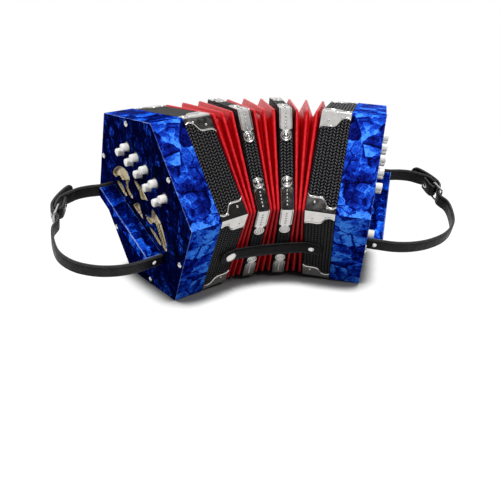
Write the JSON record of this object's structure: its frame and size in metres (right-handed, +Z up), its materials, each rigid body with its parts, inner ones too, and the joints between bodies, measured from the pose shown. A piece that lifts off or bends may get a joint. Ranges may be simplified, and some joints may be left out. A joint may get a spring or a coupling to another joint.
{
  "type": "concertina",
  "caption": "Hexagonal concertina with buttoned ends, pleated bellows in framed sections, leather hand straps and a snap closing strap, standing fanned open.",
  "frame": {"origin": "middle of the bounding box at its base, on the surface that the instrument stands on", "axes": "+X from the left end to the right end as the player holds it, +Z up, -Y towards the player's side, where the bellows is shut"},
  "size_m": [0.3894, 0.2116, 0.167],
  "materials": {
    "blue_pearl": "polished blue pearl laminate with pale edges",
    "black_leatherette": "embossed woven leatherette on wood, with chrome corner plates",
    "black_leather": "smooth black leather with creased edges",
    "red_cloth": "satin red bellows cloth",
    "white_button": "polished",
    "chrome": "polished",
    "gold_cloth": "woven with a fine pattern",
    "wood": "planed"
  },
  "bodies": {
    "right_end": {"right_casing": "black_leatherette", "right_reed_pan": "wood", "right_action_board": "wood", "right_end_cap": "blue_pearl", "right_grille_cloth": "gold_cloth", "right_hand_rest": "blue_pearl", "right_hand_strap": "black_leather", "right_buckle_strap": "black_leather", "right_buckle": "chrome", "closing_strap_anchor": "black_leather"},
    "right_outer_folds": {"right_bellows_outer_half": "red_cloth"},
    "right_inner_folds": {"right_bellows_inner_half": "red_cloth"},
    "right_band": {"right_band": "black_leatherette"},
    "middle_right_folds": {"middle_bellows_right_half": "red_cloth"},
    "middle_left_folds": {"middle_bellows_left_half": "red_cloth"},
    "left_band": {"left_band": "black_leatherette"},
    "left_inner_folds": {"left_bellows_inner_half": "red_cloth"},
    "left_outer_folds": {"left_bellows_outer_half": "red_cloth"},
    "left_end": {"left_casing": "black_leatherette", "left_reed_pan": "wood", "left_action_board": "wood", "left_end_cap": "blue_pearl", "left_grille_cloth": "gold_cloth", "left_hand_rest": "blue_pearl", "left_hand_strap": "black_leather", "left_buckle_strap": "black_leather", "left_buckle": "chrome", "snap_stud": "chrome"},
    "closing_strap": {"closing_strap": "black_leather", "snap_cap": "chrome"},
    "right_button_1": {"right_button_1": "white_button"},
    "right_button_2": {"right_button_2": "white_button"},
    "right_button_3": {"right_button_3": "white_button"},
    "right_button_4": {"right_button_4": "white_button"},
    "right_button_5": {"right_button_5": "white_button"},
    "right_button_6": {"right_button_6": "white_button"},
    "right_button_7": {"right_button_7": "white_button"},
    "right_button_8": {"right_button_8": "white_button"},
    "right_button_9": {"right_button_9": "white_button"},
    "right_button_10": {"right_button_10": "white_button"},
    "air_button": {"air_button": "white_button"},
    "left_button_1": {"left_button_1": "white_button"},
    "left_button_2": {"left_button_2": "white_button"},
    "left_button_3": {"left_button_3": "white_button"},
    "left_button_4": {"left_button_4": "white_button"},
    "left_button_5": {"left_button_5": "white_button"},
    "left_button_6": {"left_button_6": "white_button"},
    "left_button_7": {"left_button_7": "white_button"},
    "left_button_8": {"left_button_8": "white_button"},
    "left_button_9": {"left_button_9": "white_button"},
    "left_button_10": {"left_button_10": "white_button"}
  },
  "joints": [
    {"name": "fan", "type": "hinge", "parent": "right_end", "child": "right_outer_folds", "pos_m": [0.02232, -0.07979, 0.06943], "axis": [0, -0.1771, 0.9842], "range_deg": [-8.6, 0], "deforming": ["right_bellows_outer_half"]},
    {"name": "draw", "type": "slide", "parent": "right_outer_folds", "child": "right_inner_folds", "axis": [-0.9553, 0.291, 0.0524], "range_m": [0, 0.028]},
    {"name": "fan_right_inner", "type": "hinge", "parent": "right_inner_folds", "child": "right_band", "pos_m": [0.01792, -0.07845, 0.06967], "axis": [0, -0.1771, 0.9842], "range_deg": [-8.6, 0], "deforming": ["right_bellows_inner_half"]},
    {"name": "fan_middle_right", "type": "hinge", "parent": "right_band", "child": "middle_right_folds", "pos_m": [0.00231, -0.07612, 0.07009], "axis": [0, -0.1771, 0.9842], "range_deg": [-8.6, 0], "deforming": ["middle_bellows_right_half"]},
    {"name": "draw_middle", "type": "slide", "parent": "middle_right_folds", "child": "middle_left_folds", "axis": [-1, 0, 0], "range_m": [0, 0.028]},
    {"name": "fan_middle_left", "type": "hinge", "parent": "middle_left_folds", "child": "left_band", "pos_m": [-0.00231, -0.07612, 0.07009], "axis": [0, -0.1771, 0.9842], "range_deg": [-8.6, 0], "deforming": ["middle_bellows_left_half"]},
    {"name": "fan_left_inner", "type": "hinge", "parent": "left_band", "child": "left_inner_folds", "pos_m": [-0.01792, -0.07845, 0.06967], "axis": [0, -0.1771, 0.9842], "range_deg": [-8.6, 0], "deforming": ["left_bellows_inner_half"]},
    {"name": "draw_left", "type": "slide", "parent": "left_inner_folds", "child": "left_outer_folds", "axis": [-0.9553, -0.291, -0.0524], "range_m": [0, 0.028]},
    {"name": "fan_left_outer", "type": "hinge", "parent": "left_outer_folds", "child": "left_end", "pos_m": [-0.02232, -0.07979, 0.06943], "axis": [0, -0.1771, 0.9842], "range_deg": [-8.6, 0], "deforming": ["left_bellows_outer_half"]},
    {"name": "closing_strap_lift", "type": "hinge", "parent": "right_end", "child": "closing_strap", "pos_m": [0.03316, -0.06095, 0.0408], "axis": [-0.1546, -0.4802, 0.8635], "range_deg": [0, 110]},
    {"name": "right_button_1_press", "type": "slide", "parent": "right_end", "child": "right_button_1", "axis": [-0.9003, 0.4284, 0.0771], "range_m": [0, 0.004], "stiffness_N_per_m": 60, "springref_m": -0.008},
    {"name": "right_button_2_press", "type": "slide", "parent": "right_end", "child": "right_button_2", "axis": [-0.9003, 0.4284, 0.0771], "range_m": [0, 0.004], "stiffness_N_per_m": 60, "springref_m": -0.008},
    {"name": "right_button_3_press", "type": "slide", "parent": "right_end", "child": "right_button_3", "axis": [-0.9003, 0.4284, 0.0771], "range_m": [0, 0.004], "stiffness_N_per_m": 60, "springref_m": -0.008},
    {"name": "right_button_4_press", "type": "slide", "parent": "right_end", "child": "right_button_4", "axis": [-0.9003, 0.4284, 0.0771], "range_m": [0, 0.004], "stiffness_N_per_m": 60, "springref_m": -0.008},
    {"name": "right_button_5_press", "type": "slide", "parent": "right_end", "child": "right_button_5", "axis": [-0.9003, 0.4284, 0.0771], "range_m": [0, 0.004], "stiffness_N_per_m": 60, "springref_m": -0.008},
    {"name": "right_button_6_press", "type": "slide", "parent": "right_end", "child": "right_button_6", "axis": [-0.9003, 0.4284, 0.0771], "range_m": [0, 0.004], "stiffness_N_per_m": 60, "springref_m": -0.008},
    {"name": "right_button_7_press", "type": "slide", "parent": "right_end", "child": "right_button_7", "axis": [-0.9003, 0.4284, 0.0771], "range_m": [0, 0.004], "stiffness_N_per_m": 60, "springref_m": -0.008},
    {"name": "right_button_8_press", "type": "slide", "parent": "right_end", "child": "right_button_8", "axis": [-0.9003, 0.4284, 0.0771], "range_m": [0, 0.004], "stiffness_N_per_m": 60, "springref_m": -0.008},
    {"name": "right_button_9_press", "type": "slide", "parent": "right_end", "child": "right_button_9", "axis": [-0.9003, 0.4284, 0.0771], "range_m": [0, 0.004], "stiffness_N_per_m": 60, "springref_m": -0.008},
    {"name": "right_button_10_press", "type": "slide", "parent": "right_end", "child": "right_button_10", "axis": [-0.9003, 0.4284, 0.0771], "range_m": [0, 0.004], "stiffness_N_per_m": 60, "springref_m": -0.008},
    {"name": "air_button_press", "type": "slide", "parent": "right_end", "child": "air_button", "axis": [-0.9003, 0.4284, 0.0771], "range_m": [0, 0.004], "stiffness_N_per_m": 60, "springref_m": -0.008},
    {"name": "left_button_1_press", "type": "slide", "parent": "left_end", "child": "left_button_1", "axis": [0.9003, 0.4284, 0.0771], "range_m": [0, 0.004], "stiffness_N_per_m": 60, "springref_m": -0.008},
    {"name": "left_button_2_press", "type": "slide", "parent": "left_end", "child": "left_button_2", "axis": [0.9003, 0.4284, 0.0771], "range_m": [0, 0.004], "stiffness_N_per_m": 60, "springref_m": -0.008},
    {"name": "left_button_3_press", "type": "slide", "parent": "left_end", "child": "left_button_3", "axis": [0.9003, 0.4284, 0.0771], "range_m": [0, 0.004], "stiffness_N_per_m": 60, "springref_m": -0.008},
    {"name": "left_button_4_press", "type": "slide", "parent": "left_end", "child": "left_button_4", "axis": [0.9003, 0.4284, 0.0771], "range_m": [0, 0.004], "stiffness_N_per_m": 60, "springref_m": -0.008},
    {"name": "left_button_5_press", "type": "slide", "parent": "left_end", "child": "left_button_5", "axis": [0.9003, 0.4284, 0.0771], "range_m": [0, 0.004], "stiffness_N_per_m": 60, "springref_m": -0.008},
    {"name": "left_button_6_press", "type": "slide", "parent": "left_end", "child": "left_button_6", "axis": [0.9003, 0.4284, 0.0771], "range_m": [0, 0.004], "stiffness_N_per_m": 60, "springref_m": -0.008},
    {"name": "left_button_7_press", "type": "slide", "parent": "left_end", "child": "left_button_7", "axis": [0.9003, 0.4284, 0.0771], "range_m": [0, 0.004], "stiffness_N_per_m": 60, "springref_m": -0.008},
    {"name": "left_button_8_press", "type": "slide", "parent": "left_end", "child": "left_button_8", "axis": [0.9003, 0.4284, 0.0771], "range_m": [0, 0.004], "stiffness_N_per_m": 60, "springref_m": -0.008},
    {"name": "left_button_9_press", "type": "slide", "parent": "left_end", "child": "left_button_9", "axis": [0.9003, 0.4284, 0.0771], "range_m": [0, 0.004], "stiffness_N_per_m": 60, "springref_m": -0.008},
    {"name": "left_button_10_press", "type": "slide", "parent": "left_end", "child": "left_button_10", "axis": [0.9003, 0.4284, 0.0771], "range_m": [0, 0.004], "stiffness_N_per_m": 60, "springref_m": -0.008}
  ],
  "couplings": [
    {"joint": "fan_right_inner", "follows": "fan", "ratio": 1},
    {"joint": "fan_middle_right", "follows": "fan", "ratio": 1},
    {"joint": "draw_middle", "follows": "draw", "ratio": 1},
    {"joint": "fan_middle_left", "follows": "fan", "ratio": 1},
    {"joint": "fan_left_inner", "follows": "fan", "ratio": 1},
    {"joint": "draw_left", "follows": "draw", "ratio": 1},
    {"joint": "fan_left_outer", "follows": "fan", "ratio": 1}
  ]
}
